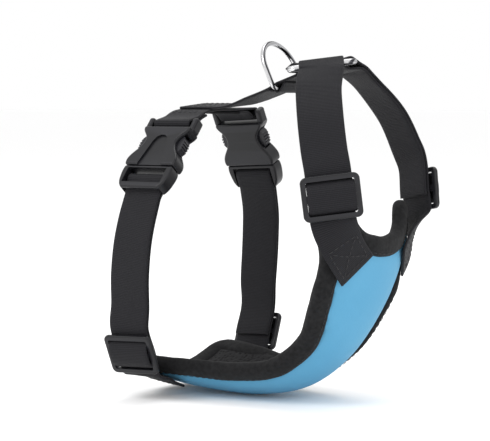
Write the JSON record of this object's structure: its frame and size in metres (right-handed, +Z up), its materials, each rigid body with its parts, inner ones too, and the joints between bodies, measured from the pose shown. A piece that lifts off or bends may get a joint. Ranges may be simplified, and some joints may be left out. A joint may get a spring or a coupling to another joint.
{
  "type": "no pull dog harness",
  "caption": "Dog harness with a curved padded chest plate, webbing shoulder and girth straps, sliders, side release buckles and a back leash ring.",
  "frame": {"origin": "centre of the girth opening, where the wearer's trunk passes, on the harness's mirror plane", "axes": "+X towards the wearer's head, +Y to its left, +Z up to its back"},
  "size_m": [0.1579, 0.1378, 0.2039],
  "materials": {
    "pad_fabric": "smooth stretch fabric, sky blue",
    "pad_foam": "soft foam wadding, hidden",
    "pad_mesh": "black air mesh",
    "binding_fabric": "matt black padded binding",
    "webbing": "black ribbed webbing",
    "slider_plastic": "satin black moulded plastic",
    "buckle_plastic": "satin black moulded plastic",
    "ring_metal": "bright plated steel wire"
  },
  "bodies": {
    "harness": {"pad_outer_shell": "pad_fabric", "pad_foam_core": "pad_foam", "pad_mesh_lining": "pad_mesh", "pad_edge_binding": "binding_fabric", "girth_top_strap": "webbing", "back_strap": "webbing", "neck_ring": "ring_metal", "right_shoulder_strap": "webbing", "right_girth_strap": "webbing", "right_buckle_socket": "buckle_plastic", "left_shoulder_strap": "webbing", "left_girth_strap": "webbing", "left_buckle_socket": "buckle_plastic"},
    "leash_ring": {"leash_ring": "ring_metal"},
    "right_plug": {"right_buckle_plug": "buckle_plastic"},
    "right_front_prong": {"right_buckle_front_prong": "buckle_plastic"},
    "right_rear_prong": {"right_buckle_rear_prong": "buckle_plastic"},
    "right_shoulder_slider": {"right_shoulder_slider": "slider_plastic", "right_shoulder_slider_wrap": "webbing"},
    "right_girth_slider": {"right_girth_slider": "slider_plastic", "right_girth_slider_wrap": "webbing"},
    "left_plug": {"left_buckle_plug": "buckle_plastic"},
    "left_front_prong": {"left_buckle_front_prong": "buckle_plastic"},
    "left_rear_prong": {"left_buckle_rear_prong": "buckle_plastic"},
    "left_shoulder_slider": {"left_shoulder_slider": "slider_plastic", "left_shoulder_slider_wrap": "webbing"},
    "left_girth_slider": {"left_girth_slider": "slider_plastic", "left_girth_slider_wrap": "webbing"}
  },
  "joints": [
    {"name": "leash_ring_swing", "type": "hinge", "parent": "harness", "child": "leash_ring", "pos_m": [0.0625, 0, 0.0925], "axis": [0, 1, 0], "range_deg": [-70, 50]},
    {"name": "right_buckle_release", "type": "slide", "parent": "harness", "child": "right_plug", "axis": [0, -0.65, -0.76], "range_m": [0, 0.022], "deforming": ["right_girth_strap", "right_buckle_front_prong", "right_buckle_rear_prong"]},
    {"name": "right_front_prong_flex", "type": "hinge", "parent": "right_plug", "child": "right_front_prong", "pos_m": [0.0153, -0.0505, 0.0487], "axis": [0, -0.76, 0.65], "range_deg": [0, 9], "stiffness_Nm_per_rad": 0.3},
    {"name": "right_rear_prong_flex", "type": "hinge", "parent": "right_plug", "child": "right_rear_prong", "pos_m": [-0.0059, -0.0505, 0.0487], "axis": [0, 0.76, -0.65], "range_deg": [0, 9], "stiffness_Nm_per_rad": 0.3},
    {"name": "right_shoulder_slider_travel", "type": "slide", "parent": "harness", "child": "right_shoulder_slider", "axis": [-0.1202, -0.0401, 0.9919], "range_m": [-0.003, 0.012]},
    {"name": "right_girth_slider_travel", "type": "slide", "parent": "harness", "child": "right_girth_slider", "axis": [-0.0201, -0.3817, 0.9241], "range_m": [-0.001, 0.014]},
    {"name": "left_buckle_release", "type": "slide", "parent": "harness", "child": "left_plug", "axis": [0.04, 0.4199, -0.9067], "range_m": [0, 0.022], "deforming": ["left_girth_strap", "left_buckle_front_prong", "left_buckle_rear_prong"]},
    {"name": "left_front_prong_flex", "type": "hinge", "parent": "left_plug", "child": "left_front_prong", "pos_m": [0.01499, 0.04715, 0.05074], "axis": [0.0346, -0.9075, -0.4187], "range_deg": [0, 9], "stiffness_Nm_per_rad": 0.3},
    {"name": "left_rear_prong_flex", "type": "hinge", "parent": "left_plug", "child": "left_rear_prong", "pos_m": [-0.00619, 0.04684, 0.04966], "axis": [-0.0346, 0.9075, 0.4187], "range_deg": [0, 9], "stiffness_Nm_per_rad": 0.3},
    {"name": "left_shoulder_slider_travel", "type": "slide", "parent": "harness", "child": "left_shoulder_slider", "axis": [-0.1407, 0.1005, 0.9849], "range_m": [-0.003, 0.012]},
    {"name": "left_girth_slider_travel", "type": "slide", "parent": "harness", "child": "left_girth_slider", "axis": [-0.0201, 0.3817, 0.9241], "range_m": [-0.001, 0.014]}
  ]
}
